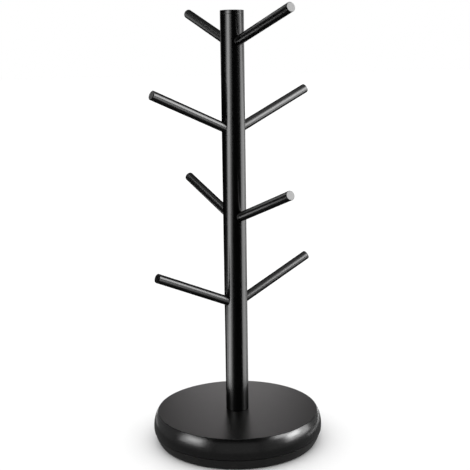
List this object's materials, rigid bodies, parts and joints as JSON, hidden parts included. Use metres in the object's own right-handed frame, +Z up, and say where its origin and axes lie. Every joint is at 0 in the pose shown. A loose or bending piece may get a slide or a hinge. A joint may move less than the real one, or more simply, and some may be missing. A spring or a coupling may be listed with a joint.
{
  "type": "mug tree",
  "caption": "Upright rack for hanging mugs: crossed pairs of rising round arms on a tubular post, over a weighted round base that turns on its foot.",
  "frame": {"origin": "on the post's axis, on the surface that the pads stand on", "axes": "+Z up along the post; the top and third pairs of arms lie close to Y, the second and fourth close to X"},
  "size_m": [0.159, 0.1629, 0.3796],
  "materials": {
    "gloss_paint": "gloss black stove enamel on steel tube and rod",
    "base_paint": "black enamel, satin on the flat top and glossy on the rounded side",
    "foot_plastic": "fine-textured satin black moulding",
    "pad_rubber": "matt black non-slip rubber",
    "ballast_iron": "rough as-cast",
    "zinc_steel": "bright zinc plate",
    "ball_steel": "polished bearing steel",
    "cage_brass": "pressed brass strip"
  },
  "bodies": {
    "foot": {"foot_disc": "foot_plastic", "foot_pad_1": "pad_rubber", "foot_pad_2": "pad_rubber", "foot_pad_3": "pad_rubber", "foot_pad_4": "pad_rubber", "lower_plate": "zinc_steel", "eyelet": "zinc_steel", "lower_screw_1": "zinc_steel", "lower_screw_2": "zinc_steel", "lower_screw_3": "zinc_steel", "lower_screw_4": "zinc_steel"},
    "tree": {"base_disc": "base_paint", "post_tube": "gloss_paint", "post_cap": "gloss_paint", "post_plug": "zinc_steel", "arm_1_front": "gloss_paint", "arm_1_back": "gloss_paint", "arm_2_right": "gloss_paint", "arm_2_left": "gloss_paint", "arm_3_front": "gloss_paint", "arm_3_back": "gloss_paint", "arm_4_right": "gloss_paint", "arm_4_left": "gloss_paint", "ballast": "ballast_iron", "clamp_bolt": "zinc_steel", "clamp_washer": "zinc_steel", "upper_plate": "zinc_steel", "upper_screw_1": "zinc_steel", "upper_screw_2": "zinc_steel", "upper_screw_3": "zinc_steel", "upper_screw_4": "zinc_steel"},
    "cage": {"ball_cage": "cage_brass", "ball_1": "ball_steel", "ball_2": "ball_steel", "ball_3": "ball_steel", "ball_4": "ball_steel", "ball_5": "ball_steel", "ball_6": "ball_steel", "ball_7": "ball_steel", "ball_8": "ball_steel", "ball_9": "ball_steel", "ball_10": "ball_steel", "ball_11": "ball_steel", "ball_12": "ball_steel"}
  },
  "joints": [
    {"name": "tree_spin", "type": "hinge", "parent": "foot", "child": "tree", "pos_m": [0, 0, 0.01], "axis": [0, 0, 1], "continuous": true},
    {"name": "cage_spin", "type": "hinge", "parent": "foot", "child": "cage", "pos_m": [0, 0, 0.01], "axis": [0, 0, 1], "continuous": true}
  ],
  "couplings": [
    {"joint": "cage_spin", "follows": "tree_spin", "ratio": 0.5}
  ]
}
